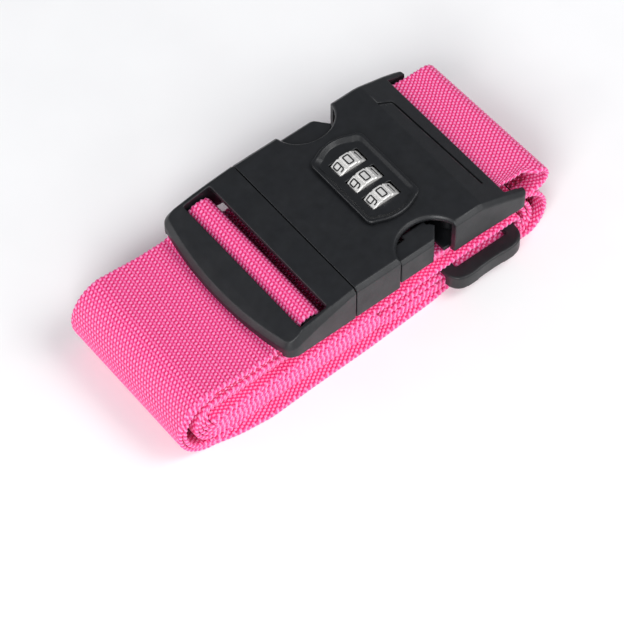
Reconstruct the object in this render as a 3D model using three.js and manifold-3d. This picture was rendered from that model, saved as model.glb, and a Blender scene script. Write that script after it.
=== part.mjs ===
// A folded luggage strap: 50 mm webbing wound into a flat hank, closed by a side-release
// buckle with a three-dial combination lock, and a tri-glide keeper on the webbing.
// Millimetres, +Z up. X runs along the buckle with x = 0 at the seam between plug and socket,
// Y runs across the webbing, and z = 0 is the surface that the hank lies on. The finished
// group is then moved in X and Y so that the origin is under the middle of the whole object.
import * as THREE from 'three';
import { mergeVertices } from 'three/addons/utils/BufferGeometryUtils.js';
import Module from 'manifold-3d';

const wasm = await Module();
wasm.setup();

// ---------------------------------------------------------------- driving dimensions
const GAP = 0.3;                 // clearance between neighbouring pieces
const WEB_WIDTH = 50;            // webbing width
const WEB_THICK = 1.1;           // webbing thickness when pressed in the hank
const PITCH = 1.4;               // height of one layer of the hank

const SOLE = 17;                 // underside of the buckle
const EDGE = 30.4;               // top of the buckle's long edges
const HALF = 28.1;               // half width of the buckle at the seam
const WALL = 1.9;                // wall of the moulded shells
const SEAM = 0.15;               // half of the gap between plug and socket
const FLOOR = 1.6;               // thickness of the bottom cover

const SOCKET_END = 62.3;         // end of the socket's two ears
const PANEL_END = 55.5;          // end of the socket's top panel, where the webbing comes out
const CREASE = 45;               // start of the socket's sloping end
const EAR_INNER = 25.9;          // inner faces of the ears
const NOTCH = { x: 25.9, y: 28.6, a: 10, b: 8.6 };   // thumb notch, an ellipse in plan

const DIAL = { x: 25.75, z: 26.4, r: 6.3, thick: 4.8, pitch: 7.4, faces: 10, bore: 3.2 };
const WINDOW = { length: 10.3, width: 5.1 };
const BEZEL = { x: 25.75, halfX: 9.3, halfY: 13.8, bow: 2, rim: 1.7, plate: 0.6, top: 1.6 };
const SHAFT_R = 1.2;

const SLOT = { x0: -18.6, x1: -9.2, half: 26.4 };    // webbing slot of the plug
const PLUG_BAR = { x0: -14.7, x1: -12.9, z: 23.7, r: 1.8 };   // flat bar that the webbing loops round
const PIN = { x: 50.5, z: 22.4, r: 2 };              // steel pin that holds the sewn loop
const ARM = {
  y: 23.1, half: 1.2, root: 0.3, shoulder: 16.4, tip: 28.1, innerTip: 32.2, inner: 21.6, outer: 27.9,
  top: 28.1, beamLow: 20.5, beamTop: 27.5,
};
const FAR = 80;                  // reach of a cutting tool that goes right through

// top and underside of the plug and of the socket, as X and Z along the buckle
const PLUG_TOP = [[0, EDGE], [-9, EDGE - 1], [-18.6, EDGE - 2.6], [-24, EDGE - 5.2], [-29, EDGE - 8]];
const PLUG_UNDER = [[-29, EDGE - 10.6], [-24, EDGE - 10.7], [0, SOLE]];
const SOCKET_TOP = [[0, EDGE], [CREASE, EDGE], [PANEL_END, EDGE - 3.6], [SOCKET_END + 1, EDGE - 6.9]];
const SOCKET_UNDER = [[SOCKET_END + 1, SOLE + 0.8], [CREASE, SOLE], [0, SOLE]];
const CEILING = EDGE - 1.7;      // underside of the socket's top panel
const CEILING_DROP = 3.9;        // how far the ceiling falls below the sloping end

const BLACK = { color: 0x28292b, roughness: 0.5, metalness: 0 };
const PINK = { color: 0xee3a82, roughness: 0.8, metalness: 0 };
const SILVER = { color: 0xc9c8c4, roughness: 0.35, metalness: 0.7 };
const STEEL = { color: 0x9a9ca0, roughness: 0.3, metalness: 1 };

const strap = new THREE.Group();

// ---------------------------------------------------------------- solids and booleans
function solid(geometry) {
  const bare = geometry.clone();
  bare.deleteAttribute('normal');
  bare.deleteAttribute('uv');
  const merged = mergeVertices(bare, 1e-4);
  return new wasm.Manifold(new wasm.Mesh({
    numProp: 3,
    vertProperties: new Float32Array(merged.attributes.position.array),
    triVerts: new Uint32Array(merged.index.array),
  }));
}

function toGeometry(manifold) {
  const mesh = manifold.getMesh();
  const geometry = new THREE.BufferGeometry();
  geometry.setAttribute('position', new THREE.BufferAttribute(new Float32Array(mesh.vertProperties), 3));
  geometry.setIndex(new THREE.BufferAttribute(new Uint32Array(mesh.triVerts), 1));
  return geometry;
}

function box(x0, x1, y0, y1, z0, z1) {
  const geometry = new THREE.BoxGeometry(x1 - x0, y1 - y0, z1 - z0);
  geometry.translate((x0 + x1) / 2, (y0 + y1) / 2, (z0 + z1) / 2);
  return solid(geometry);
}

// an outline in X and Y, raised from z0 to z1
function prismZ(shape, z0, z1, curveSegments = 8) {
  const geometry = new THREE.ExtrudeGeometry(shape, { depth: z1 - z0, bevelEnabled: false, curveSegments });
  geometry.translate(0, 0, z0);
  return solid(geometry);
}

// an outline in X and Z, drawn out from y0 to y1
function prismY(points, y0, y1) {
  const shape = new THREE.Shape(points.map(([x, z]) => new THREE.Vector2(x, z)));
  const geometry = new THREE.ExtrudeGeometry(shape, { depth: y1 - y0, bevelEnabled: false });
  geometry.rotateX(Math.PI / 2);
  geometry.translate(0, y1, 0);
  return solid(geometry);
}

function rodY(x, z, r, y0, y1, sides = 16) {
  const geometry = new THREE.CylinderGeometry(r, r, y1 - y0, sides);
  geometry.translate(x, (y0 + y1) / 2, z);
  return solid(geometry);
}

function rodZ(x, y, r, z0, z1, sides = 12) {
  const geometry = new THREE.CylinderGeometry(r, r, z1 - z0, sides);
  geometry.rotateX(Math.PI / 2);
  geometry.translate(x, y, (z0 + z1) / 2);
  return solid(geometry);
}

function join(...solids) {
  return solids.reduce((whole, piece) => whole.add(piece));
}

function cut(from, ...tools) {
  return tools.reduce((whole, tool) => whole.subtract(tool), from);
}

function place(name, shape, look) {
  const geometry = shape.isBufferGeometry ? shape : toGeometry(shape);
  const mesh = new THREE.Mesh(geometry, new THREE.MeshStandardMaterial(look));
  mesh.name = name;
  strap.add(mesh);
}

// ---------------------------------------------------------------- webbing
// points on an arc in X and Z, from angle a0 to a1 in degrees
function arc(cx, cz, r, a0, a1, step = 20) {
  const count = Math.max(2, Math.ceil(Math.abs(a1 - a0) / step));
  return Array.from({ length: count + 1 }, (_, i) => {
    const a = THREE.MathUtils.degToRad(a0 + (a1 - a0) * i / count);
    return [cx + r * Math.cos(a), cz + r * Math.sin(a)];
  });
}

// a band of webbing along a centre line in X and Z
function ribbon(path, middleY) {
  const points = path.map(([x, z]) => new THREE.Vector2(x, z));
  const left = [];
  const right = [];
  points.forEach((point, i) => {
    const before = point.clone().sub(points[Math.max(i - 1, 0)]).normalize();
    const after = points[Math.min(i + 1, points.length - 1)].clone().sub(point).normalize();
    const along = before.clone().add(after).normalize();
    const normal = new THREE.Vector2(-along.y, along.x);
    const spread = WEB_THICK / 2 / Math.max(0.8, along.dot(after.lengthSq() ? after : before));
    left.push([point.x + normal.x * spread, point.y + normal.y * spread]);
    right.unshift([point.x - normal.x * spread, point.y - normal.y * spread]);
  });
  return prismY([...left, ...right], middleY - WEB_WIDTH / 2, middleY + WEB_WIDTH / 2);
}

const RUN_Z = WEB_THICK / 2;                 // outer run, the lowest layer
const TAIL_Z = RUN_Z + PITCH;                // free tail, on top of the outer run
const levelZ = (k) => TAIL_Z + PITCH * (k + 5);   // layers -4 to 5 of the wound hank

const FOLD = { x: -50.2, r: 10.3 };          // left fold of the outer run
const NOSE_X = -47.55;                       // left turns of the wound hank
const HANK_Y = -2;                           // the hank sits a little off the buckle's middle
const TAIL_END = 8;                          // cut end of the free tail
const OUTER_FOLD_X = 65.3;                   // right fold that leads to the outer run
const FIRST_FOLD = { x: 69.3, top: 23.6 };   // right fold next to the socket
const KEEPER_Z = 6.7;                        // height of the layer that the tri-glide holds

function plugLoop() {
  const over = 35;               // slopes of the two layers beside the bar, in degrees
  const under = 17;
  const loopR = PLUG_BAR.r + GAP + WEB_THICK / 2;
  const foldZ = RUN_Z + FOLD.r;
  return ribbon([
    ...arc(FOLD.x, foldZ, FOLD.r, 270, 90),
    [-36, 19.6],
    [-26, 18.9],
    ...arc(PLUG_BAR.x0, PLUG_BAR.z, loopR, 90 + over, 90),
    ...arc(PLUG_BAR.x1, PLUG_BAR.z, loopR, 90, under - 90, 24),
    [-26, 17.45],
    [-36, 18.2],
    ...arc(FOLD.x, foldZ, FOLD.r - PITCH, 90, 270),
  ], 0);
}

function socketLoop() {
  const lean = 11;
  const loopR = PIN.r + GAP + WEB_THICK / 2;
  const r = (FIRST_FOLD.top - levelZ(5)) / 2;
  return ribbon([
    [66.5, 22.15],
    [62, 22.15],
    [55.5, 20.8],
    ...arc(PIN.x, PIN.z, loopR, 270, 90 - lean, 24),
    [PANEL_END, 24.3],
    [62, 23.6],
    ...arc(FIRST_FOLD.x, FIRST_FOLD.top - r, r, 90, -90),
  ], 0);
}

// A strap folded in the middle and wound: left turns join level k to 1 - k, right turns
// join level k to -1 - k, until the strap leaves by the large right fold to the outer run.
function hank() {
  const path = [[FIRST_FOLD.x - GAP, levelZ(5)]];
  const noTailX = [TAIL_END + 1.5, TAIL_END + 5.5];   // past the tail's end the low layers step down
  const lowZ = (k) => (k === -2 ? KEEPER_Z : levelZ(k) - PITCH);
  const rightX = [8, 60, 61, 61.5, OUTER_FOLD_X];      // centres of the right turns, inside out
  const turn = (cx, z0, z1, side) => {
    const middle = (z0 + z1) / 2;
    const down = z1 < z0;
    const from = down ? 90 : 270;
    const sweep = (side === 'left') === down ? 180 : -180;
    path.push(...arc(cx, middle, Math.abs(z1 - z0) / 2, from, from + sweep, 22.5));
  };
  const rightZ = (k) => (k <= -2 ? lowZ(k) : levelZ(k));
  let level = 5;
  while (level !== 4) {
    turn(NOSE_X, levelZ(level), levelZ(1 - level), 'left');
    level = 1 - level;
    if (level <= -2) path.push([noTailX[0], levelZ(level)], [noTailX[1], lowZ(level)]);
    if (level !== 4) {
      const next = -1 - level;
      turn(rightX[Math.max(level, next)], rightZ(level), rightZ(next), 'right');
      if (next <= -2) path.push([noTailX[1], lowZ(next)], [noTailX[0], levelZ(next)]);
      level = next;
    }
  }
  turn(OUTER_FOLD_X, levelZ(4), RUN_Z, 'right');
  return ribbon(path, HANK_Y);
}

place('webbing_plug_loop', plugLoop(), PINK);
place('webbing_socket_loop', socketLoop(), PINK);
place('webbing_hank', hank(), PINK);
place('webbing_outer_run', ribbon([[FOLD.x + GAP, RUN_Z], [OUTER_FOLD_X - GAP, RUN_Z]], HANK_Y), PINK);
place('webbing_tail', ribbon([[FOLD.x + GAP, TAIL_Z], [TAIL_END, TAIL_Z]], HANK_Y), PINK);

// ---------------------------------------------------------------- plug
const PLUG_CORNER = { x: -20.5, flare: 1.2 };        // where the sides turn into the bowed end
const BOW = { corner: -25.2, middle: -30.6, y: 26 };
const TONGUE = { x: 14, half: 7, low: 19.8, top: 23, rib: 12, ribHalf: 1.2, ribTop: 27 };
const CHAMBER = { x: -2, z0: EDGE - 2.9, z1: EDGE - 2.1 };   // hollow behind the slot
const PASSAGE = { x: -26, z0: 20.1, z1: 25.2 };      // ceiling over the webbing under the end rail
const ROOT = 1;                  // how far a joined piece reaches into its neighbour

function plugOutline() {
  const wide = HALF + PLUG_CORNER.flare;
  const control = -24.6;
  const shape = new THREE.Shape();
  shape.moveTo(-SEAM, -HALF);
  shape.lineTo(-SEAM, HALF);
  shape.lineTo(PLUG_CORNER.x, wide);
  shape.quadraticCurveTo(control, wide + 0.2, BOW.corner, BOW.y);
  shape.quadraticCurveTo(BOW.middle, 0, BOW.corner, -BOW.y);
  shape.quadraticCurveTo(control, -wide - 0.2, PLUG_CORNER.x, -wide);
  return shape;
}

function plugFrame() {
  const profile = prismY([[0, SOLE], ...PLUG_TOP, ...PLUG_UNDER.slice(0, -1)], -FAR, FAR);
  const shell = prismZ(plugOutline(), SOLE - 1, EDGE + 1, 10).intersect(profile);
  const slot = box(SLOT.x0, SLOT.x1, -SLOT.half, SLOT.half, 0, FAR);
  const chamber = prismY([
    [SLOT.x1 - 0.1, 0], [CHAMBER.x, 0], [CHAMBER.x, CHAMBER.z1], [SLOT.x1 - 0.1, CHAMBER.z0],
  ], -SLOT.half, SLOT.half);
  const passage = prismY([
    [-FAR, 0], [SLOT.x0 + 0.1, 0], [SLOT.x0 + 0.1, PASSAGE.z1], [PASSAGE.x, PASSAGE.z0], [-FAR, PASSAGE.z0],
  ], -SLOT.half, SLOT.half);
  const { x0, x1, z, r } = PLUG_BAR;
  const reach = SLOT.half + ROOT;
  const rounds = [x0, x1].map((x) => rodY(x, z, r, -reach, reach, 18));
  const bar = join(...rounds, box(x0, x1, -reach, reach, z - r, z + r));
  const tongue = box(-ROOT, TONGUE.x, -TONGUE.half, TONGUE.half, TONGUE.low, TONGUE.top);
  const rib = box(-ROOT, TONGUE.rib, -TONGUE.ribHalf, TONGUE.ribHalf, TONGUE.top - 0.5, TONGUE.ribTop);
  return join(cut(shell, slot, chamber, passage), bar, tongue, rib);
}

// a release arm, drawn for the far side (positive Y) and mirrored for the near side: its pad
// ends in a bevel that leaves room for a fingertip in the notch
function releaseArm(side) {
  const { y, half, shoulder, tip, innerTip, inner, outer } = ARM;
  const beam = box(ARM.root, shoulder + ROOT, y - half, y + half, ARM.beamLow, ARM.beamTop);
  const outline = new THREE.Shape([
    [shoulder, inner], [innerTip - 1, inner], [innerTip, inner + 1.5], [tip, outer], [shoulder, outer],
  ].map(([px, py]) => new THREE.Vector2(px, py)));
  const arm = join(beam, prismZ(outline, SOLE + FLOOR + GAP, ARM.top));
  return side > 0 ? arm : arm.mirror([0, 1, 0]);
}

place('plug_frame', plugFrame(), BLACK);
place('release_arm_near', releaseArm(-1), BLACK);
place('release_arm_far', releaseArm(1), BLACK);

// ---------------------------------------------------------------- socket
function notchShape(side) {
  const shape = new THREE.Shape();
  shape.absellipse(NOTCH.x, side * NOTCH.y, NOTCH.a, NOTCH.b, 0, Math.PI * 2, false, 0);
  return shape;
}

const SCREWS = [[19.5, -15], [19.5, 15], [40, -20], [40, 20]];   // X and Y of the cover screws
const SCREW = { head: 2, shank: 1, sink: 1, hole: 1.4, counterbore: 2.3, long: 8 };
const BOSS = { r: 2.3, bore: 1.3, top: 27 };
const BACK_WALL = [43, 44.6];    // X of the wall between the lock and the webbing pin
const RESET = { x0: 23.3, x1: 28.2, y0: -17.4, y1: -15.5, travel: 2.1, top: 27 };

function socketOutline() {
  const corner = 2.5;
  const wide = HALF + 0.8;
  const shape = new THREE.Shape();
  shape.moveTo(SEAM, -HALF);
  shape.lineTo(CREASE, -HALF);
  shape.lineTo(SOCKET_END - corner, -wide);
  shape.quadraticCurveTo(SOCKET_END, -wide, SOCKET_END, -wide + 2);
  shape.lineTo(SOCKET_END, wide - 2);
  shape.quadraticCurveTo(SOCKET_END, wide, SOCKET_END - corner, wide);
  shape.lineTo(CREASE, HALF);
  shape.lineTo(SEAM, HALF);
  return shape;
}

function bezelShape(inset) {
  const x = BEZEL.halfX - inset;
  const y = BEZEL.halfY - inset;
  const corner = 2.2;
  const shape = new THREE.Shape();
  shape.moveTo(BEZEL.x - x, -y + corner);
  shape.quadraticCurveTo(BEZEL.x - x, -y, BEZEL.x - x + corner, -y - 0.4);
  shape.quadraticCurveTo(BEZEL.x, -y - BEZEL.bow * 2, BEZEL.x + x - corner, -y - 0.4);
  shape.quadraticCurveTo(BEZEL.x + x, -y, BEZEL.x + x, -y + corner);
  shape.lineTo(BEZEL.x + x, y - corner);
  shape.quadraticCurveTo(BEZEL.x + x, y, BEZEL.x + x - corner, y + 0.4);
  shape.quadraticCurveTo(BEZEL.x, y + BEZEL.bow * 2, BEZEL.x - x + corner, y + 0.4);
  shape.quadraticCurveTo(BEZEL.x - x, y, BEZEL.x - x, y - corner);
  return shape;
}

function topCover() {
  const inner = HALF - WALL;
  const roof = CEILING + 0.5;    // inner walls end inside the top panel
  const profile = prismY([...SOCKET_TOP, ...SOCKET_UNDER], -FAR, FAR);
  const outer = prismZ(socketOutline(), SOLE - 1, EDGE + 1, 6).intersect(profile);
  const cavity = prismY([
    [-1, 0], [-1, CEILING], [CREASE, CEILING], [PANEL_END + 1, CEILING - CEILING_DROP],
    [FAR, CEILING - CEILING_DROP], [FAR, 0],
  ], -inner, inner);
  const exit = box(PANEL_END, FAR, -EAR_INNER, EAR_INNER, 0, FAR);
  const backWall = box(...BACK_WALL, -inner - 0.5, inner + 0.5, SOLE + 2, roof);
  const notches = [-1, 1].map((side) => prismZ(notchShape(side), 0, FAR, 10));
  const bosses = SCREWS.map(([x, y]) => rodZ(x, y, BOSS.r, SOLE + FLOOR + GAP, roof));
  const holes = SCREWS.map(([x, y]) => rodZ(x, y, BOSS.bore, 0, BOSS.top));
  const opening = prismZ(bezelShape(BEZEL.rim), SOLE + 3, FAR, 5);
  const shell = cut(outer, cavity, exit);
  return cut(join(shell, backWall, ...bosses), ...notches, ...holes, opening);
}

function bottomCover() {
  const half = HALF - WALL - GAP;
  const end = SOCKET_END - 0.5;
  const padRoom = { x0: 15.6, x1: 33.6, y: 19.5 };
  const plate = box(SEAM, end, -half, half, SOLE, SOLE + FLOOR)
    .intersect(prismY([[0, SOLE], [CREASE, SOLE], [FAR, SOLE + 0.42], [FAR, EDGE], [0, EDGE]], -FAR, FAR));
  const notches = [box(padRoom.x0, padRoom.x1, padRoom.y, FAR, 0, FAR)];
  notches.push(notches[0].mirror([0, 1, 0]));
  const holes = SCREWS.flatMap(([x, y]) => [
    rodZ(x, y, SCREW.hole, 0, FAR),
    rodZ(x, y, SCREW.counterbore, 0, SOLE + SCREW.sink + 0.2),
  ]);
  const resetSlot = box(
    RESET.x0 - GAP, RESET.x1 + GAP, RESET.y0 - 1.5, RESET.y1 + RESET.travel, 0, FAR,
  );
  return cut(plate, ...notches, ...holes, resetSlot);
}

function dialBezel() {
  const inlay = { depth: 0.6, wide: 1 };   // collar that sits in the cover's opening
  const inset = 0.2;
  const plateTop = EDGE + BEZEL.plate;
  const inlayInset = BEZEL.rim + GAP;
  const plate = cut(
    prismZ(bezelShape(inlayInset), EDGE - inlay.depth, plateTop, 5),
    prismZ(bezelShape(inlayInset + inlay.wide), SOLE, EDGE, 5),
  );
  const flange = prismZ(bezelShape(0), EDGE + GAP, plateTop, 5);
  const rim = cut(
    prismZ(bezelShape(inset), plateTop - 0.1, EDGE + BEZEL.top, 5),
    prismZ(bezelShape(BEZEL.rim - inset), SOLE, FAR, 5),
  );
  const windows = [-1, 0, 1].map((k) => box(
    DIAL.x - WINDOW.length / 2, DIAL.x + WINDOW.length / 2,
    k * DIAL.pitch - WINDOW.width / 2, k * DIAL.pitch + WINDOW.width / 2, 0, FAR,
  ));
  return cut(join(plate, flange, rim), ...windows);
}

place('socket_top_cover', topCover(), BLACK);
place('socket_bottom_cover', bottomCover(), BLACK);
place('dial_bezel', dialBezel(), BLACK);
place('webbing_pin', rodY(PIN.x, PIN.z, PIN.r, -HALF + WALL + GAP, HALF - WALL - GAP, 18), STEEL);

SCREWS.forEach(([x, y], i) => {
  const drive = { long: 1.1, half: 0.25, top: SOLE + 0.6 };
  const head = rodZ(x, y, SCREW.head, SOLE + 0.1, SOLE + SCREW.sink, 16);
  const shank = rodZ(x, y, SCREW.shank, SOLE + SCREW.sink - 0.1, SOLE + SCREW.long);
  const cross = join(
    box(x - drive.long, x + drive.long, y - drive.half, y + drive.half, 0, drive.top),
    box(x - drive.half, x + drive.half, y - drive.long, y + drive.long, 0, drive.top),
  );
  place(`cover_screw_${i + 1}`, cut(join(head, shank), cross), STEEL);
});

// ---------------------------------------------------------------- lock
const UPRIGHT = { inner: 11, outer: 12.2 };          // Y of the walls that carry the shaft
const CHASSIS = { x0: 20.2, x1: 34, rail: 32.4, railTop: 20.6, top: 28.4 };
const SPRING = { x0: 17.2, x1: 17.8, z0: 23.2, z1: 27.9, leafHalf: 1.5 };
const CAM = { half: 3.3, flange: 3.6, flangeThick: 0.6, notch: 0.8 };
const SHAFT = { y0: -15.2, y1: 13.2 };

function lockChassis() {
  const low = SOLE + FLOOR + GAP;
  const upright = (y0, y1) => box(CHASSIS.x0, CHASSIS.x1, y0, y1, low, CHASSIS.top);
  const rail = box(CHASSIS.rail, CHASSIS.x1, -UPRIGHT.outer, UPRIGHT.outer, low, CHASSIS.railTop);
  const bore = rodY(DIAL.x, DIAL.z, SHAFT_R + 0.2, -FAR, FAR);
  return cut(join(
    upright(-UPRIGHT.outer, -UPRIGHT.inner), upright(UPRIGHT.inner, UPRIGHT.outer), rail,
  ), bore);
}

// a comb of three leaf springs, one resting beside each dial
function detentSpring() {
  const back = box(SPRING.x0, SPRING.x1, -UPRIGHT.outer, UPRIGHT.outer, SPRING.z0, SPRING.z1);
  const leaves = [-1, 0, 1].map((k) => prismY([
    [17.3, 23.4], [17.3, 23.9], [19.1, 24.6], [19.1, 24.1],
  ], k * DIAL.pitch - SPRING.leafHalf, k * DIAL.pitch + SPRING.leafHalf));
  return join(back, ...leaves);
}

function numberDial(y) {
  const turn = Math.PI / DIAL.faces;
  const wheel = new THREE.CylinderGeometry(DIAL.r, DIAL.r, DIAL.thick, DIAL.faces);
  wheel.rotateY(turn + Math.PI / 2);
  wheel.translate(DIAL.x, y, DIAL.z);
  return cut(solid(wheel), rodY(DIAL.x, DIAL.z, DIAL.bore, y - DIAL.thick, y + DIAL.thick, 20));
}

// a sleeve inside the dial, with a flange that carries the lock's notch
function camSleeve(y) {
  const low = y - CAM.half;
  const body = rodY(DIAL.x, DIAL.z, DIAL.bore - 0.35, low, y + CAM.half, 20);
  const flange = rodY(DIAL.x, DIAL.z, CAM.flange, low, low + CAM.flangeThick, 20);
  const { flange: r, notch: deep } = CAM;
  const notch = box(DIAL.x + r - deep, DIAL.x + r, low - 0.1, low + deep, DIAL.z - 1, DIAL.z + 1);
  const bore = rodY(DIAL.x, DIAL.z, SHAFT_R + 0.35, -FAR, FAR, 16);
  return cut(join(body, flange), notch, bore);
}

[1, 2, 3].forEach((n) => {
  const y = (2 - n) * DIAL.pitch;
  place(`number_dial_${n}`, numberDial(y), SILVER);
  place(`cam_sleeve_${n}`, camSleeve(y), BLACK);
});

place('lock_chassis', lockChassis(), BLACK);
place('detent_spring', detentSpring(), STEEL);
place('dial_shaft', rodY(DIAL.x, DIAL.z, SHAFT_R, SHAFT.y0, SHAFT.y1, 16), STEEL);

function resetSlider() {
  return box(RESET.x0, RESET.x1, RESET.y0, RESET.y1, SOLE + 0.2, RESET.top);
}

// a closed coil of wire along Y or X
function coil(start, axis, { long, r, wire, turns }) {
  class Helix extends THREE.Curve {
    getPoint(t, target = new THREE.Vector3()) {
      const a = t * turns * Math.PI * 2;
      const along = wire + t * (long - 2 * wire);
      target.set(r * Math.cos(a), r * Math.sin(a), along);
      if (axis === 'y') target.set(target.x, target.z, target.y);
      if (axis === 'x') target.set(target.z, target.y, target.x);
      return target.add(start);
    }
  }
  const ring = new THREE.Shape();
  ring.absarc(0, 0, wire, 0, Math.PI * 2, false);
  const geometry = new THREE.ExtrudeGeometry(ring, {
    steps: turns * 12, curveSegments: 3, extrudePath: new Helix(), bevelEnabled: false,
  });
  return solid(geometry);
}

place('reset_slider', resetSlider(), BLACK);
const SHAFT_COIL = { long: 2.8, r: 1.65, wire: 0.2, turns: 3 };
place('shaft_spring', coil(new THREE.Vector3(DIAL.x, SHAFT.y0, DIAL.z), 'y', SHAFT_COIL), STEEL);

const BLOCKER = {
  x0: 35, x1: 37.4, half: 16.5, z0: 21.2, z1: 24.6,
  finger: 29.8, fingerHalf: 0.25, fingerLow: 22.4, fingerTop: 26.2,
};

// the blocker slides behind the dials and is pushed forwards by its own spring
function lockBlocker() {
  const { x0, x1, half, z0, z1, finger, fingerHalf, fingerLow, fingerTop } = BLOCKER;
  const bar = box(x0, x1, -half, half, z0, z1);
  const fingers = [-1, 0, 1].map((k) => {
    const y = k * DIAL.pitch - CAM.half + CAM.flangeThick / 2;
    return box(finger, x0 + 1, y - fingerHalf, y + fingerHalf, fingerLow, fingerTop);
  });
  return join(bar, ...fingers);
}

place('lock_blocker', lockBlocker(), BLACK);
const BLOCKER_COIL = { long: 5.2, r: 1.2, wire: 0.2, turns: 4 };
const coilStart = new THREE.Vector3(BLOCKER.x1 + 0.1, 0, (BLOCKER.z0 + BLOCKER.z1) / 2);
place('blocker_spring', coil(coilStart, 'x', BLOCKER_COIL), STEEL);

// ---------------------------------------------------------------- tri-glide keeper
// two bars pass over the webbing and the middle bar passes under it
const KEEPER = { x0: 32.6, x1: 59.4, low: 4.2, high: 9.5, corner: 6, half: 31.1, bar: 4 };
const KEEPER_MIDDLE = { x0: 44.4, x1: 47.6 };

function triGlideOutline() {
  const { x0, x1, corner } = KEEPER;
  const near = HANK_Y - KEEPER.half;
  const far = HANK_Y + KEEPER.half;
  const shape = new THREE.Shape();
  shape.moveTo(x0 + corner, near);
  shape.lineTo(x1 - corner, near);
  shape.quadraticCurveTo(x1, near, x1, near + corner);
  shape.lineTo(x1, far - corner);
  shape.quadraticCurveTo(x1, far, x1 - corner, far);
  shape.lineTo(x0 + corner, far);
  shape.quadraticCurveTo(x0, far, x0, far - corner);
  shape.lineTo(x0, near + corner);
  shape.quadraticCurveTo(x0, near, x0 + corner, near);
  return shape;
}

function triGlide() {
  const { x0, x1, low, high, bar } = KEEPER;
  const webTop = KEEPER_Z + WEB_THICK / 2 + GAP;
  const webUnder = KEEPER_Z - WEB_THICK / 2 - GAP;
  const y0 = HANK_Y - WEB_WIDTH / 2 - 1.1;
  const y1 = HANK_Y + WEB_WIDTH / 2 + 1.1;
  const belowOuterBars = box(x0 - 1, x1 + 1, y0, y1, 0, webTop);
  const slots = [
    box(x0 + bar, KEEPER_MIDDLE.x0, y0, y1, 0, 50),
    box(KEEPER_MIDDLE.x1, x1 - bar, y0, y1, 0, 50),
    box(KEEPER_MIDDLE.x0 - 0.1, KEEPER_MIDDLE.x1 + 0.1, y0, y1, 0, 50),
  ];
  const middleBar = box(KEEPER_MIDDLE.x0, KEEPER_MIDDLE.x1, y0 - 0.5, y1 + 0.5, low, webUnder);
  return join(cut(prismZ(triGlideOutline(), low, high, 6), belowOuterBars, ...slots), middleBar);
}

place('tri_glide', triGlide(), BLACK);

// ---------------------------------------------------------------- origin under the middle
const bounds = new THREE.Box3().setFromObject(strap);
const middle = bounds.getCenter(new THREE.Vector3());
strap.position.set(-middle.x, -middle.y, -bounds.min.z);

export default strap;
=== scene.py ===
"""Looks of a folded luggage strap: woven pink webbing wound into a hank, closed by a black
side-release buckle with a three-dial lock, and a tri-glide keeper on the webbing.

Shapes are drawn in millimetres with x = 0 at the seam between plug and socket, y = 0 in the
middle of the buckle and z = 0 on the surface the strap lies on, then moved to the frame."""

import math

import bmesh
import bpy
import numpy as np
from mathutils import Matrix, Vector


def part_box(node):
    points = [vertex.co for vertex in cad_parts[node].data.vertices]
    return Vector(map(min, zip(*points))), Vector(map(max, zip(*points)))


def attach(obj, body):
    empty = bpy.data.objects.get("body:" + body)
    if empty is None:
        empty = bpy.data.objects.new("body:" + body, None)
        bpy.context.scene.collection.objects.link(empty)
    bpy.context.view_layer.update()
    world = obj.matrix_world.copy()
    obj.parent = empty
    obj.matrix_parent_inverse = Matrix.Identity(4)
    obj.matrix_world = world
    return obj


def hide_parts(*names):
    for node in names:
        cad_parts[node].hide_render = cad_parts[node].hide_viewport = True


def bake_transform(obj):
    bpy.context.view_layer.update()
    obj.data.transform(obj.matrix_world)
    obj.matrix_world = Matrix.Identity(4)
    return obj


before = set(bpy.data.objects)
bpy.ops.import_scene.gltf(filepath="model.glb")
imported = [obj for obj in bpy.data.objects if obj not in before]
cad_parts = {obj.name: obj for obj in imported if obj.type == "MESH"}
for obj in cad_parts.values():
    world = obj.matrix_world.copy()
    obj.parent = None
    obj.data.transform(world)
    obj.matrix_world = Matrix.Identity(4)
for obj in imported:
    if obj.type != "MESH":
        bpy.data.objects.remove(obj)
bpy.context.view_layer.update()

# ---------------------------------------------------------------- driving dimensions, mm
MM = 0.001
GAP = 0.3             # play between parts
WEB_WIDTH = 50
WEB_THICK = 1.1
PITCH = 1.4           # height from one layer of webbing to the next

HALF_ROW = 1.025      # spacing of the crown rows along the webbing, each shifted by half a crown
CROWN = 1.28          # spacing of the crowns across it
SLANT = math.radians(19)
RELIEF = 0.24         # height of a crown
CORE = WEB_THICK / 2 - 0.07      # half the thickness beneath the crowns
GAP_SHADE = 0.12      # painted shade of the weave's gaps, where the painted highlight on top of a crown is 1
STEP = 0.25           # spacing of the fine rows of the mesh
WHOLE = [(0, 1e4)]    # a stretch that takes in any length

SOLE = 17             # underside of the buckle
EDGE = 30.4           # its flat top
HALF = 28.1           # half its width at the seam
WALL = 1.9
SEAM = 0.15           # half the gap between plug and socket
FLOOR = 1.6           # thickness of the bottom cover
BEYOND = 40           # past either side of the buckle, and past the plug
OPEN_END = 80         # past the open end of the socket
THROUGH = (0, 50)     # from below the buckle to above it

SOCKET_END = 62.3
CREASE = 45
PANEL_END = 55.5      # where the top panel stops between the ears
PANEL_DROP = 3.6      # how far it slopes down from the crease to there
EAR_INNER = 25.9
EAR_HALF = HALF + 0.8
EAR_CORNER = 2.5
NOTCH_X, NOTCH_Y, NOTCH_A, NOTCH_B = 25.9, 28.6, 10, 8.6
SCREWS = [(19.5, -15), (19.5, 15), (40, -20), (40, 20)]
BOSS_R, PILOT_R, PILOT_TOP = 2.3, 1.3, 27
SHANK_R, HEAD_R, HEAD_DEPTH = 1.4, 2.3, 1.2
PAD_ROOM_X, PAD_ROOM_Y = (15.6, 33.6), 19.5
RESET_HOLE = (23, 28.5, -18.9, -13.4)

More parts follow.
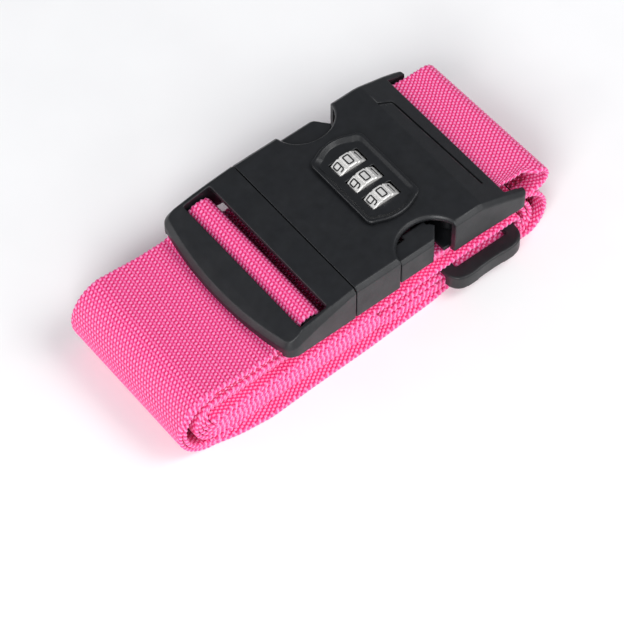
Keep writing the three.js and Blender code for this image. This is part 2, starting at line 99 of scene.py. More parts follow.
DIAL_X, DIAL_Z, DIAL_R, DIAL_THICK, DIAL_PITCH, DIAL_BORE = 25.75, 26.4, 6.3, 4.8, 7.4, 3.2
DIAL_FACES = 10
DIAL_TURN = 2 * math.pi / DIAL_FACES
DIAL_FLAT_R = DIAL_R * math.cos(DIAL_TURN / 2)
WINDOW_LENGTH, WINDOW_WIDTH = 10.3, 5.1
BEZEL_X, BEZEL_HALF_X, BEZEL_HALF_Y, BEZEL_BOW = 25.75, 9.3, 13.8, 2
BEZEL_RIM, BEZEL_PLATE, BEZEL_TOP = 1.7, 0.6, 1.6

SLOT_X0, SLOT_X1, SLOT_HALF = -18.6, -9.2, 26.4
CHAMBER_X = -2
PASSAGE_X, PASSAGE_LOW, PASSAGE_HIGH = -26, 20.1, 25.2
TONGUE = (-1, 14, -7, 7, 19.8, 23)
TONGUE_RIB = (-1, 12, -1.2, 1.2, 22.5, 27)
PLUG_BAR_X0, PLUG_BAR_X1, PLUG_BAR_Z, PLUG_BAR_R = -14.7, -12.9, 23.7, 1.8
PIN_X, PIN_Z, PIN_R = 50.5, 22.4, 2

cover_low, cover_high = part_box("socket_top_cover")
ORIGIN = Vector((cover_low.x - SEAM * MM, (cover_low.y + cover_high.y) / 2, 0))


def at(x, y, z):
    """A point of the drawing, in the frame."""
    return ORIGIN + Vector((x, y, z)) * MM


# ---------------------------------------------------------------- solids
def make(name, points, faces):
    mesh = bpy.data.meshes.new(name)
    mesh.from_pydata(points, [], faces)
    obj = bpy.data.objects.new(name, mesh)
    bpy.context.scene.collection.objects.link(obj)
    return obj


def face_outwards(obj):
    shape = bmesh.new()
    shape.from_mesh(obj.data)
    bmesh.ops.recalc_face_normals(shape, faces=shape.faces)
    shape.to_mesh(obj.data)
    shape.free()
    return obj


def loft(rings):
    """A closed solid through rings that have equally many points."""
    n = len(rings[0])
    points = [p for ring in rings for p in ring]
    faces = [list(range(n)), [len(points) - 1 - i for i in range(n)]]
    for k in range(len(rings) - 1):
        low, high = k * n, (k + 1) * n
        faces += [[low + i, low + (i + 1) % n, high + (i + 1) % n, high + i] for i in range(n)]
    return face_outwards(make("solid", points, faces))


def frustum(low_outline, high_outline, low, high):
    return loft([[(x, y, low) for x, y in low_outline], [(x, y, high) for x, y in high_outline]])


def prism(outline, low, high):
    """An outline in X and Y, raised along Z."""
    return frustum(outline, outline, low, high)


def prism_y(outline, low, high):
    """An outline in X and Z, drawn out along Y."""
    return loft([[(x, y, z) for x, z in outline] for y in (low, high)])


def box(x0, x1, y0, y1, z0, z1):
    return prism([(x0, y0), (x1, y0), (x1, y1), (x0, y1)], z0, z1)


def ellipse(x, y, a, b, count=64):
    turn = 2 * math.pi / count
    return [(x + a * math.cos(i * turn), y + b * math.sin(i * turn)) for i in range(count)]


def rod_y(x, z, r, y0, y1):
    return prism_y(ellipse(x, z, r, r, 32), y0, y1)


def rod_z(x, y, r, z0, z1):
    return prism(ellipse(x, y, r, r, 32), z0, z1)


def settle(obj):
    """Applies the object's modifiers."""
    graph = bpy.context.evaluated_depsgraph_get()
    mesh = bpy.data.meshes.new_from_object(obj.evaluated_get(graph), depsgraph=graph)
    obj.modifiers.clear()
    obj.data = mesh


def combine(body, operation, tools):
    for tool in tools:
        step = body.modifiers.new(operation, "BOOLEAN")
        step.operation = operation
        step.solver = "MANIFOLD"
        step.object = tool
    settle(body)
    for tool in tools:
        bpy.data.objects.remove(tool)
    return body


def cut(body, *tools):
    return combine(body, "DIFFERENCE", tools)


def join(body, *tools):
    return combine(body, "UNION", tools)


def common(body, *tools):
    return combine(body, "INTERSECT", tools)


def mould(obj, name, rounds, voxel=0.3, share=0.3):
    """Rounds every edge a little, as moulding does, and thins out the flat parts."""
    remesh = obj.modifiers.new("grid", "REMESH")
    remesh.mode = "VOXEL"
    remesh.voxel_size = voxel
    soften = obj.modifiers.new("soften", "SMOOTH")
    soften.factor = 0.5
    soften.iterations = rounds
    thin = obj.modifiers.new("thin", "DECIMATE")
    thin.ratio = share
    settle(obj)
    obj.data.shade_smooth()
    obj.name = name
    obj.data.name = name
    return obj


def bevel(obj, width, angle):
    """Rounds the edges that turn by more than an angle, in degrees."""
    step = obj.modifiers.new("bevel", "BEVEL")
    step.width = width
    step.segments = 2
    step.limit_method = "ANGLE"
    step.angle_limit = math.radians(angle)


def to_frame(obj):
    obj.data.transform(Matrix.Translation(ORIGIN) @ Matrix.Scale(MM, 4))
    return obj


def finish_piece(obj, body, material, slot, *nodes):
    """Gives a piece its material and hangs it on its CAD body in place of CAD nodes."""
    obj.data.materials.clear()
    obj.data.materials.append(material)
    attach(to_frame(obj), body)
    if nodes:
        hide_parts(*nodes)


# ---------------------------------------------------------------- curves
def along(points, x):
    """The value at x of a line through points, sorted by x."""
    return float(np.interp(x, [p[0] for p in points], [p[1] for p in points]))


def quadratic(start, control, end, count):
    """Points of a quadratic curve, without its start."""
    out = []
    for i in range(1, count + 1):
        t = i / count
        out.append(tuple(
            (1 - t) ** 2 * a + 2 * t * (1 - t) * b + t * t * c for a, b, c in zip(start, control, end)
        ))
    return out


def arc(cx, cz, r, a0, a1, step=5):
    count = max(2, math.ceil(abs(a1 - a0) / step))
    angles = [math.radians(a0 + (a1 - a0) * i / count) for i in range(count + 1)]
    return [(cx + r * math.cos(a), cz + r * math.sin(a)) for a in angles]


# ---------------------------------------------------------------- materials
class Nodes:
    """A material's node tree, with short calls to add and link nodes."""

    def __init__(self, name):
        self.material = bpy.data.materials.new(name)
        self.material.use_nodes = True
        self.tree = self.material.node_tree
        self.shader = self.tree.nodes["Principled BSDF"]

    def add(self, kind, **settings):
        node = self.tree.nodes.new(kind)
        for key, value in settings.items():
            if key in node.inputs:
                node.inputs[key].default_value = value
            else:
                setattr(node, key, value)
        return node

    def link(self, source, target):
        self.tree.links.new(source, target)

    def math(self, operation, *values):
        """A maths node on sockets and numbers."""
        node = self.add("ShaderNodeMath", operation=operation)
        for socket, value in zip(node.inputs, values):
            if isinstance(value, (int, float)):
                socket.default_value = value
            else:
                self.link(value, socket)
        return node.outputs["Value"]

    def set(self, **sockets):
        for key, value in sockets.items():
            self.shader.inputs[key.replace("_", " ")].default_value = value

    def object_noise(self, scale, detail=3.0, roughness=0.5):
        place = self.add("ShaderNodeTexCoord")
        noise = self.add("ShaderNodeTexNoise", Scale=scale, Detail=detail, Roughness=roughness)
        self.link(place.outputs["Object"], noise.inputs["Vector"])
        return noise.outputs["Fac"]

    def ramp(self, source, stops, target):
        ramp = self.add("ShaderNodeValToRGB")
        elements = ramp.color_ramp.elements
        while len(elements) < len(stops):
            elements.new(0.5)
        for element, (position, colour) in zip(elements, stops):
            element.position = position
            element.color = (*colour, 1)
        self.link(source, ramp.inputs["Fac"])
        self.link(ramp.outputs["Color"], target)

    def bump(self, source, distance, strength=1.0, normal=None):
        bump = self.add("ShaderNodeBump", Strength=strength, Distance=distance)
        self.link(source, bump.inputs["Height"])
        if normal is not None:
            self.link(normal, bump.inputs["Normal"])
        self.link(bump.outputs["Normal"], self.shader.inputs["Normal"])
        return bump.outputs["Normal"]


def grey(value):
    return (value, value, value)


def moulded_plastic(name, base, roughness, grain):
    """Black moulded plastic: a fine spark-eroded grain, and rub marks that shine a little."""
    nodes = Nodes(name)
    nodes.set(Base_Color=(*base, 1), Specular_IOR_Level=0.5)
    rub = nodes.object_noise(160, 6, 0.62)
    low, high = roughness
    nodes.ramp(rub, [(0.35, grey(low)), (0.7, grey(high))], nodes.shader.inputs["Roughness"])
    tone = nodes.object_noise(420, 4)
    darker = tuple(c * 0.82 for c in base)
    lighter = tuple(c * 1.25 for c in base)
    nodes.ramp(tone, [(0.3, darker), (0.72, lighter)], nodes.shader.inputs["Base Color"])
    fine = nodes.object_noise(5200, 2)
    normal = nodes.bump(fine, grain * MM, 0.35)
    broad = nodes.object_noise(900, 3)
    nodes.bump(broad, grain * 0.8 * MM, 0.25, normal)
    return nodes.material


def woven(name):
    """Polypropylene webbing: a painted highlight on the crowns, painted shade deep in the gaps, and
    fibres along the yarns.
    Where the mesh is left plain, the same weave is drawn by the material, in painted light and shade
    and in bumps."""
    nodes = Nodes(name)
    place = nodes.add("ShaderNodeUVMap", uv_map="weave")
    stretch = nodes.add("ShaderNodeVectorMath", operation="MULTIPLY")
    nodes.link(place.outputs["UV"], stretch.inputs[0])
    stretch.inputs[1].default_value = (0.9, 9.0, 1)
    fibres = nodes.add("ShaderNodeTexNoise", Scale=1.0, Detail=3.0, Roughness=0.6)
    nodes.link(stretch.outputs["Vector"], fibres.inputs["Vector"])

    axes = nodes.add("ShaderNodeSeparateXYZ")
    nodes.link(place.outputs["UV"], axes.inputs["Vector"])
    along_wave = nodes.math("COSINE", nodes.math("MULTIPLY", axes.outputs["X"], math.pi / HALF_ROW))
    across_wave = nodes.math("COSINE", nodes.math("MULTIPLY", axes.outputs["Y"], 2 * math.pi / CROWN))
    drawn = nodes.math("MAXIMUM", nodes.math("MULTIPLY", along_wave, across_wave), 0)
    plain = nodes.add("ShaderNodeAttribute", attribute_name="plain").outputs["Fac"]
    drawn = nodes.math("MULTIPLY", nodes.math("POWER", drawn, 0.7), plain)
    painted_weave_light = nodes.add("ShaderNodeAttribute", attribute_name="painted_weave_light").outputs["Fac"]
    value = nodes.math("ADD", painted_weave_light, nodes.math("MULTIPLY", drawn, 0.8))
    value = nodes.math("MULTIPLY_ADD", fibres.outputs["Fac"], 0.36, value)
    # painted light: the base colour runs from painted shade in the weave's gaps to a painted highlight
    # on the crowns
    nodes.ramp(value, [
        (0.12, (0.32, 0.002, 0.030)),
        (0.42, (0.78, 0.012, 0.14)),
        (0.8, (0.91, 0.090, 0.33)),
        (1.0, (0.96, 0.30, 0.56)),
    ], nodes.shader.inputs["Base Color"])
    nodes.ramp(fibres.outputs["Fac"], [(0.2, grey(0.42)), (0.8, grey(0.62))],
               nodes.shader.inputs["Roughness"])
    nodes.set(Specular_IOR_Level=0.5, Sheen_Weight=0.25, Sheen_Roughness=0.4)
    nodes.shader.inputs["Sheen Tint"].default_value = (1.0, 0.6, 0.78, 1)
    yarns = nodes.bump(drawn, RELIEF * MM, 1.0)
    nodes.bump(fibres.outputs["Fac"], 0.09 * MM, 0.8, yarns)
    return nodes.material


def metal(name, colour, roughness, line_scale, depth, metallic):
    """Bright metal with fine machining lines and a slightly uneven polish."""
    nodes = Nodes(name)
    nodes.set(Metallic=metallic)
    place = nodes.add("ShaderNodeTexCoord")
    stretch = nodes.add("ShaderNodeVectorMath", operation="MULTIPLY")
    nodes.link(place.outputs["Object"], stretch.inputs[0])
    stretch.inputs[1].default_value = line_scale
    lines = nodes.add("ShaderNodeTexNoise", Scale=1.0, Detail=4.0)
    nodes.link(stretch.outputs["Vector"], lines.inputs["Vector"])
    dull = tuple(c * 0.82 for c in colour)
    nodes.ramp(lines.outputs["Fac"], [(0.3, dull), (0.7, colour)], nodes.shader.inputs["Base Color"])
    low, high = roughness
    nodes.ramp(nodes.object_noise(700, 4), [(0.3, grey(low)), (0.7, grey(high))],
               nodes.shader.inputs["Roughness"])
    nodes.bump(lines.outputs["Fac"], depth * MM, 0.5)
    return nodes.material


def ink():
    nodes = Nodes("black_ink")
    nodes.ramp(nodes.object_noise(2500, 3), [(0.3, grey(0.008)), (0.7, grey(0.02))],
               nodes.shader.inputs["Base Color"])
    nodes.ramp(nodes.object_noise(1800, 2), [(0.3, grey(0.45)), (0.7, grey(0.6))],
               nodes.shader.inputs["Roughness"])
    return nodes.material


BLACK = moulded_plastic("black_plastic", (0.0075, 0.0082, 0.0098), (0.38, 0.50), 0.05)
GLOSS = moulded_plastic("bezel_plastic", (0.0070, 0.0076, 0.0090), (0.34, 0.42), 0.02)
PINK = woven("pink_webbing")
ZINC = metal("dial_zinc", (0.90, 0.885, 0.86), (0.34, 0.46), (700, 2600, 700), 0.004, 0.45)
STEEL = metal("bright_steel", (0.62, 0.62, 0.64), (0.25, 0.4), (6000, 700, 700), 0.02, 1.0)
INK = ink()


# ---------------------------------------------------------------- webbing
def crowns(s, t, weft):
    """Height of the weave, 0 to 1, at s along and t across the webbing."""
    row = np.floor(s / HALF_ROW + 0.5)
    odd = np.mod(row, 2)
    ds = s - row * HALF_ROW
    dt = (np.mod(t / CROWN - 0.5 * odd + 0.5, 1) - 0.5) * CROWN
    a = ds * math.cos(SLANT) + dt * math.sin(SLANT)
    b = dt * math.cos(SLANT) - ds * math.sin(SLANT)
    dome = np.clip(1 - (a / 0.72) ** 2 - (b / 0.50) ** 2, 0, 1) ** 0.7 * (1 - 0.25 * weft * odd)
    line = weft * np.exp(-(((np.mod(s / HALF_ROW / 2, 1) - 0.5) * HALF_ROW * 2 / 0.17) ** 2))
    return np.maximum(dome, 0.85 * line)


def centre_line(points, soften):
    """Even steps along x, z, y points, with the corners rounded and the ends kept."""
    p = np.array(points, float)
    length = np.concatenate([[0], np.cumsum(np.hypot(*np.diff(p[:, :2], axis=0).T))])
    count = int(round(length[-1] / STEP))
    s = np.linspace(0, length[-1], count + 1)
    line = np.stack([np.interp(s, length, p[:, k]) for k in range(3)], 1)
    reach = max(1, int(soften / STEP))
    for _ in range(2):
        head = 2 * line[0] - line[reach:0:-1]
        foot = 2 * line[-1] - line[-2:-reach - 2:-1]
        padded = np.concatenate([head, line, foot])
        window = np.ones(2 * reach + 1) / (2 * reach + 1)
        line = np.stack([np.convolve(padded[:, k], window, "valid") for k in range(3)], 1)
    return line


def columns(near, far, fine, coarse):
    """Places across the webbing: fine steps in the near and far strips, coarse ones between."""
    edge = WEB_WIDTH / 2 - CORE
    strips = [np.arange(-edge, -edge + near, fine), np.arange(edge - far, edge, fine)]
    middle = np.arange(-edge + near, edge - far, coarse)
    return np.concatenate([strips[0], middle, strips[1], [edge]])


def askew(x, t):
    """How far the right folds fall back towards the far edge of the webbing."""
    return -1.3 * np.clip((x - 62) / 6, 0, 1) * (t / WEB_WIDTH + 0.5)


def band(name, points, shown, top, under, soften=0.9, weft=0.0, curl=0.0):
    """Woven webbing along a centre line of x, z, y points. shown holds the stretches, in
    millimetres from the start, that get the fine mesh; top and under are the columns.
    weft raises thin lines across the rows, and curl draws the near edge in."""
    line = centre_line(points, soften)
    steps = np.arange(len(line))
    s_all = steps * STEP
    inside = np.max([np.minimum(s_all - start, end - s_all) for start, end in shown], axis=0)
    fine = inside >= 0
    keep = fine | (steps % 4 == 0) | (steps == len(line) - 1)
    tangent = np.gradient(line[:, :2], axis=0)
    tangent /= np.hypot(*tangent.T)[:, None]
    line, tangent, s = line[keep], tangent[keep], s_all[keep]
    normal = np.stack([-tangent[:, 1], tangent[:, 0]], 1)
    fade = np.clip(inside[keep] + 1, 0, 1)

    turn = np.radians([60, 20, -20, -60])
    rim_t = WEB_WIDTH / 2 - CORE + CORE * np.cos(turn)
    t = np.concatenate([top, rim_t, under[::-1], -rim_t[::-1]])
    side = np.concatenate([
        np.ones(len(top)), np.zeros(4), -np.ones(len(under)), np.zeros(4)])
    rim = np.concatenate([
        np.zeros(len(top)), CORE * np.sin(turn), np.zeros(len(under)), CORE * np.sin(turn[::-1])])
    gap = np.abs(np.diff(t, append=t[0]))
    wide = (side != 0) & (np.maximum(gap, np.roll(gap, 1)) > 0.5)

    S, T = np.meshgrid(s, t, indexing="ij")
    under_side = (side < 0)[None, :]
    weave = np.where(under_side, crowns(S + HALF_ROW / 2, T, weft), crowns(S, T, weft))
    in_mesh = fade[:, None] * np.where(wide, 0, 1)[None, :]
    weave = weave * in_mesh
    bead = 0.5 + 0.5 * np.cos(2 * math.pi * S / (HALF_ROW * 1.5) + np.sign(T) * 3 * rim[None, :])
    bead = bead * fade[:, None]
    on_rim = (side == 0)[None, :]
    relief = np.where(on_rim, rim[None, :] * (1 + 0.25 * bead), side[None, :] * (CORE + RELIEF * weave))
    reach = T + np.where(on_rim, np.sign(T) * 0.32 * bead, 0)
    inward = curl * fade[:, None] * np.clip((-T - 17) / 8, 0, 1) ** 2
    inward = inward * np.clip((69 - line[:, 0:1]) / 3.5, 0, 1)
    x = line[:, 0:1] + normal[:, 0:1] * relief
    x = x + askew(x, T)
    z = line[:, 1:2] + normal[:, 1:2] * relief + 0.3 * inward
    y = line[:, 2:3] + reach + inward

    rows, ring = S.shape
    index = np.arange(rows * ring).reshape(rows, ring)
    following = np.roll(index, -1, axis=1)
    quads = np.stack([index[:-1], following[:-1], following[1:], index[1:]], -1).reshape(-1, 4)
    obj = make(name, np.stack([x, y, z], -1).reshape(-1, 3).tolist(), [
        *quads.tolist(), index[0][::-1].tolist(), index[-1].tolist()])
    mesh = obj.data
    corner = np.zeros(len(mesh.loops), np.int32)
    mesh.loops.foreach_get("vertex_index", corner)
    places = np.stack([S.reshape(-1), T.reshape(-1)], 1)[corner]
    mesh.uv_layers.new(name="weave").data.foreach_set("uv", places.astype(np.float32).reshape(-1))
    # painted light: crowns and the beads of the edge get a painted highlight, the weave's gaps painted
    # shade
    weave_light_and_shade = np.where(on_rim, 0.35 + 0.5 * bead, GAP_SHADE + (1 - GAP_SHADE) * weave)
    plain = 1 - in_mesh
    weave_light_and_shade = weave_light_and_shade * in_mesh + GAP_SHADE * plain
    for attribute, values in (("painted_weave_light", weave_light_and_shade), ("plain", np.broadcast_to(plain, S.shape))):
        mesh.attributes.new(attribute, "FLOAT", "POINT").data.foreach_set(
            "value", values.astype(np.float32).reshape(-1))
    face_outwards(obj)
    mesh.shade_smooth()
    return obj, float(s_all[-1])


RUN_Z = CORE + RELIEF
TAIL_Z = WEB_THICK / 2 + PITCH
FOLD_X, FOLD_R = -50.2, 10.3
NOSE_X = -48.6
TAIL_END = 8
OUTER_FOLD_X = 65.3
FIRST_FOLD_X, FIRST_FOLD_TOP = 69.3, 23.6
KEEPER_Z = 6.7

# middle of each layer across the webbing: the lower layers lie nearer the front
FOLD_Y = -2.6
RUN_Y = [(FOLD_X, FOLD_Y), (-42, -4.5), (-32, -5.6), (-18, -5.0), (4, -4.6), (28, -3.4), (35, -2.6)]
TAIL_Y = [(FOLD_X, FOLD_Y - 0.2), (-42, -2.4), (-30, -1.6)]
LEVEL_Y = {5: -0.2, 4: 0.3, 3: 0.9, 2: 1.3, 1: -1.7, 0: -2.2, -1: -2.4, -2: -2.1, -3: -1.9, -4: -2.0}


def level_z(k):
    return TAIL_Z + PITCH * (k + 5)


def flat(points, y):
    """Gives x, z points a place y across the buckle."""
    return [(x, z, y) for x, z in points]


def ease(points, y0, y1):
    """Gives x, z points a place across the buckle that drifts from y0 to y1."""
    last = len(points) - 1
    return [(x, z, y0 + (y1 - y0) * i / last) for i, (x, z) in enumerate(points)]


def plug_loop():
    over, under = 35, 17
    loop_r = PLUG_BAR_R + GAP + WEB_THICK / 2
    fold_z = RUN_Z + FOLD_R
    points = [
        *ease(arc(FOLD_X, fold_z, FOLD_R, 270, 90), FOLD_Y, 0),
        *ease([(-36, 19.6), (-26, 18.9)], 0, 0.4),
        *flat(arc(PLUG_BAR_X0, PLUG_BAR_Z, loop_r, 90 + over, 90), 0.6),
        *flat(arc(PLUG_BAR_X1, PLUG_BAR_Z, loop_r, 90, under - 90), 0.6),
        *ease([(-26, 17.45), (-36, 18.2)], 0.4, 0),
        *ease(arc(FOLD_X, fold_z, FOLD_R - PITCH, 90, 270), -0.4, FOLD_Y - 0.2),
    ]
    obj, length = band(
        "strap_plug_loop", points, [(0, 80), (116, 150)], columns(20, 20, 0.25, 0.25),
        columns(2, 1, 0.4, 4), weft=0.8)
    finish_piece(obj, "plug", PINK, "webbing", "webbing_plug_loop")


def socket_loop():
    lean = 11
    loop_r = PIN_R + GAP + WEB_THICK / 2
    r = (FIRST_FOLD_TOP - level_z(5)) / 2
    points = [
        *flat([(59.5, 21.7), (55.5, 20.8)], 0),
        *flat(arc(PIN_X, PIN_Z, loop_r, 270, 90 - lean), 0),
        *flat([(PANEL_END, 24.3), (62, 23.6)], 0),
        *ease(arc(FIRST_FOLD_X, FIRST_FOLD_TOP - r, r, 90, -90), 0, LEVEL_Y[5]),
    ]
    obj, length = band(
        "strap_socket_loop", points, [(19, 63)], columns(20, 20, 0.2, 0.2), columns(6, 3, 0.3, 2),
        weft=0.5, curl=2.6)
    finish_piece(obj, "socket", PINK, "webbing", "webbing_socket_loop")


def hank():
    """The wound part: left turns join level k to 1 - k, right turns join k to -1 - k."""
    points = flat([(FIRST_FOLD_X, level_z(5))], LEVEL_Y[5])
    past_tail = (TAIL_END + 1.5, TAIL_END + 5.5)
    right_x = [8, 60, 61, 61.5, OUTER_FOLD_X]

    def low_z(k):
        return KEEPER_Z if k == -2 else level_z(k) - PITCH

    def turn(cx, z0, z1, y0, y1, left):
        down = z1 < z0
        start = 90 if down else 270
        sweep = 180 if left == down else -180
        points.extend(ease(arc(cx, (z0 + z1) / 2, abs(z1 - z0) / 2, start, start + sweep, 9), y0, y1))

    level = 5
    while level != 4:
        other = 1 - level
        turn(NOSE_X, level_z(level), level_z(other), LEVEL_Y[level], LEVEL_Y[other], True)
        level = other
        y = LEVEL_Y[level]
        if level <= -2:
            points.extend(flat([(past_tail[0], level_z(level)), (past_tail[1], low_z(level))], y))
        if level != 4:
            other = -1 - level
            z0, z1 = (low_z(k) if k <= -2 else level_z(k) for k in (level, other))
            turn(right_x[max(level, other)], z0, z1, y, LEVEL_Y[other], False)
            level = other
            if level <= -2:
                ends = [(past_tail[1], low_z(level)), (past_tail[0], level_z(level))]
                points.extend(flat(ends, LEVEL_Y[level]))
    turn(OUTER_FOLD_X, level_z(4), RUN_Z, LEVEL_Y[4], RUN_Y[-1][1], False)
    obj, length = band(
        "strap_hank", points, WHOLE, columns(4, 2, 0.33, 6), columns(4, 2, 0.33, 6), soften=0.6)
    finish_piece(obj, "socket", PINK, "webbing", "webbing_hank")


def lower_layers():
    run = [(x, RUN_Z, along(RUN_Y, x)) for x in np.linspace(FOLD_X, OUTER_FOLD_X, 60)]
    obj, length = band(
        "strap_outer_run", run, WHOLE, columns(8, 3, 0.3, 4), columns(0, 0, 0.3, 4))
    bridge(obj, "webbing_outer_run")
    tail = [(x, TAIL_Z, along(TAIL_Y, x)) for x in np.linspace(FOLD_X, TAIL_END, 30)]
    obj, length = band("strap_tail", tail, WHOLE, columns(6, 3, 0.3, 4), columns(3, 3, 0.3, 4))
    bridge(obj, "webbing_tail")


def bridge(obj, node):
    """Webbing between the plug at its left end and the socket at its right end, baked into the frame in
    place of its CAD node.
    """
    obj.data.materials.append(PINK)
    to_frame(obj)
    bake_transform(obj)
    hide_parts(node)


# ---------------------------------------------------------------- plug
PLUG_TOP = [
    (-32, 20.8), (-29, EDGE - 8), (-24, EDGE - 5.2), (-18.6, EDGE - 2.6), (-9, EDGE - 1),
    (0, EDGE),
]
PLUG_UNDER = [(0, SOLE), (-24, EDGE - 10.7), (-32, EDGE - 10.6)]


def plug_outline():
    """From the seam round the bowed end and back to the seam."""
    far = [(-SEAM, HALF), (-7, HALF + 0.4), (-14, HALF + 0.8), (-20.5, HALF + 1.2)]
    far += quadratic(far[-1], (-24.6, HALF + 1.4), (-25.2, 26), 12)
    bow = quadratic(far[-1], (-30.6, 0), (-25.2, -26), 40)
    return far + bow + [(x, -y) for x, y in reversed(far[:-1])]


def plug_shell():
    """The plug's outside, with a chamfer that runs along both sides and round the bowed end."""
    outline = plug_outline()
    last = len(outline) - 1
    rings = [[] for _ in range(6)]
    for i, (x, y) in enumerate(outline):
        before, after = outline[max(i - 1, 0)], outline[min(i + 1, last)]
        inward = Vector((before[1] - after[1], after[0] - before[0])).normalized()
        if i in (0, last):
            inward = Vector((0, math.copysign(1, -y)))
        end = abs(inward.x)
        width = along([(-18, 1.5), (0, 1.1)], x) * (1 - end) + 1.3 * end
        drop = along([(-18, 2.6), (0, 1.1)], x) * (1 - end) + 1.3 * end
        levels = [
            (0, -drop - 9), (0, -drop), (width * 0.45, -drop * 0.5), (width, 0.02),
            (width * 1.15, 0.6), (width * 1.3, 4),
        ]
        for ring, (inset, rise) in zip(rings, levels):
            inner_x = x + inward.x * inset
            ring.append((inner_x, y + inward.y * inset, along(PLUG_TOP, inner_x) + rise))
    for ring, level in ((rings[0], SOLE - 2), (rings[-1], EDGE + 3)):
        ring[:] = [(x, y, level) for x, y, _ in ring]
    return common(loft(rings), prism_y(PLUG_TOP + PLUG_UNDER, -BEYOND, BEYOND))


def plug():
    shell = plug_shell()
    slot = box(SLOT_X0, SLOT_X1, -SLOT_HALF, SLOT_HALF, *THROUGH)
    chamber = prism_y([
        (SLOT_X1 - 0.1, 0), (CHAMBER_X, 0), (CHAMBER_X, EDGE - 2.1), (SLOT_X1 - 0.1, EDGE - 2.9),
    ], -SLOT_HALF, SLOT_HALF)
    passage = prism_y([
        (-BEYOND, 0), (SLOT_X0 + 0.1, 0), (SLOT_X0 + 0.1, PASSAGE_HIGH),
        (PASSAGE_X, PASSAGE_LOW), (-BEYOND, PASSAGE_LOW),
    ], -SLOT_HALF, SLOT_HALF)
    cut(shell, slot, chamber, passage)
    reach = SLOT_HALF + 1
    bar = prism_y([
        *arc(PLUG_BAR_X0, PLUG_BAR_Z, PLUG_BAR_R, 270, 90, 12),
        *arc(PLUG_BAR_X1, PLUG_BAR_Z, PLUG_BAR_R, 90, -90, 12),
    ], -reach, reach)
    join(shell, bar, box(*TONGUE), box(*TONGUE_RIB))
    piece = mould(shell, "plug_body", voxel=0.25, rounds=4)
    finish_piece(piece, "plug", BLACK, "black_plastic", "plug_frame")


def release_arm(side, word):
    """A springy beam with a thumb pad whose end is bevelled, drawn for either side."""
    y, inner, outer = 23.1, 21.6, 27.9
    shoulder, tip, inner_tip, top, low = 16.4, 28.1, 32.2, 28.1, SOLE + FLOOR + GAP
    chamfer = 1.0

    def plan(back):
        face = outer - back
        lip = tip + back * (inner_tip - tip) / (outer - inner - 1.5)
        line = [(shoulder, inner), (inner_tip - 1, inner), (inner_tip, inner + 1.5), (lip, face)]
        return [(px, side * py) for px, py in line + [(shoulder, face)]]

    pad = loft([[(px, py, z) for px, py in plan(back)]
                for back, z in ((0, low), (0, top - chamfer), (chamfer, top))])
    beam = box(1, shoulder + 1, *sorted((side * (y - 1.2), side * (y + 1.2))), 20.5, 27.5)
    flange = box(22.3, 30.5, *sorted((side * 20.2, side * 21.8)), top - 0.8, top)
    arm = mould(join(pad, beam, flange), f"release_pad_{word}", voxel=0.22, rounds=3)
    finish_piece(arm, f"release_arm_{word}", BLACK, "black_plastic", f"release_arm_{word}")


# ---------------------------------------------------------------- socket
def notch(side, grow=0.0):
    return ellipse(NOTCH_X, side * NOTCH_Y, NOTCH_A + grow, NOTCH_B + grow, 96)


def bezel_outline(inset):
    x0, x1 = BEZEL_X - BEZEL_HALF_X + inset, BEZEL_X + BEZEL_HALF_X - inset
    y, corner = BEZEL_HALF_Y - inset, 2.2
    far = [(x0, y - corner)]
    far += quadratic((x0, y - corner), (x0, y), (x0 + corner, y + 0.4), 8)
    far += quadratic((x0 + corner, y + 0.4), (BEZEL_X, y + BEZEL_BOW * 2), (x1 - corner, y + 0.4), 16)
    far += quadratic((x1 - corner, y + 0.4), (x1, y), (x1, y - corner), 8)
    return far + [(x, -b) for x, b in reversed(far)]


def socket_shell():
    top = [(0, EDGE), (CREASE - 1, EDGE), (CREASE + 1, EDGE - 0.25), (PANEL_END, EDGE - PANEL_DROP),
           (SOCKET_END + 1, EDGE - 6.9)]
    bottom = [(0, SOLE), (CREASE, SOLE), (SOCKET_END + 1, SOLE + 0.8)]
    end, wide, corner = SOCKET_END, EAR_HALF, SOCKET_END - EAR_CORNER
    half = [(0, HALF), (CREASE, HALF), (corner, wide), (end + 1, wide)]
    c = 1.25
    rings = []
    for x in (SEAM, 20, CREASE - 1, CREASE + 1, PANEL_END, corner, end + 1):
        z0, z1, w = along(bottom, x), along(top, x), along(half, x)
        rings.append([
            (x, -w + 0.4, z0), (x, w - 0.4, z0), (x, w, z0 + 0.4), (x, w, z1 - c),
            (x, w - c, z1), (x, -w + c, z1), (x, -w, z1 - c), (x, -w, z0 + 0.4),
        ])
    outline = [(SEAM, -wide - 1), (corner, -wide - 1), (corner, -wide)]
    outline += quadratic((corner, -wide), (end, -wide), (end, -wide + 2.2), 8)
    outline += [(end, wide - 2.2)]
    outline += quadratic((end, wide - 2.2), (end, wide), (corner, wide), 8)
    outline += [(corner, wide + 1), (SEAM, wide + 1)]
    return common(loft(rings), prism(outline, SOLE - 1, EDGE + 1))


def label_groove():
    """A thin groove near the sloping end, with one short leg."""
    spine = [(46, 18.9), (50.1, 17.9), (50.5, 17.4), (51.9, -20.5)]
    width, depth = 0.35, 0.55
    rings = []
    for i, (x, y) in enumerate(spine):
        before, after = spine[max(i - 1, 0)], spine[min(i + 1, len(spine) - 1)]
        direction = Vector((after[0] - before[0], after[1] - before[1])).normalized()
        side = Vector((-direction.y, direction.x)) * width
        z = EDGE - PANEL_DROP * (x - CREASE) / (PANEL_END - CREASE) - depth
        rings.append([
            (x - side.x, y - side.y, z), (x + side.x, y + side.y, z),
            (x + side.x, y + side.y, EDGE + 1), (x - side.x, y - side.y, EDGE + 1),
        ])
    return loft(rings)


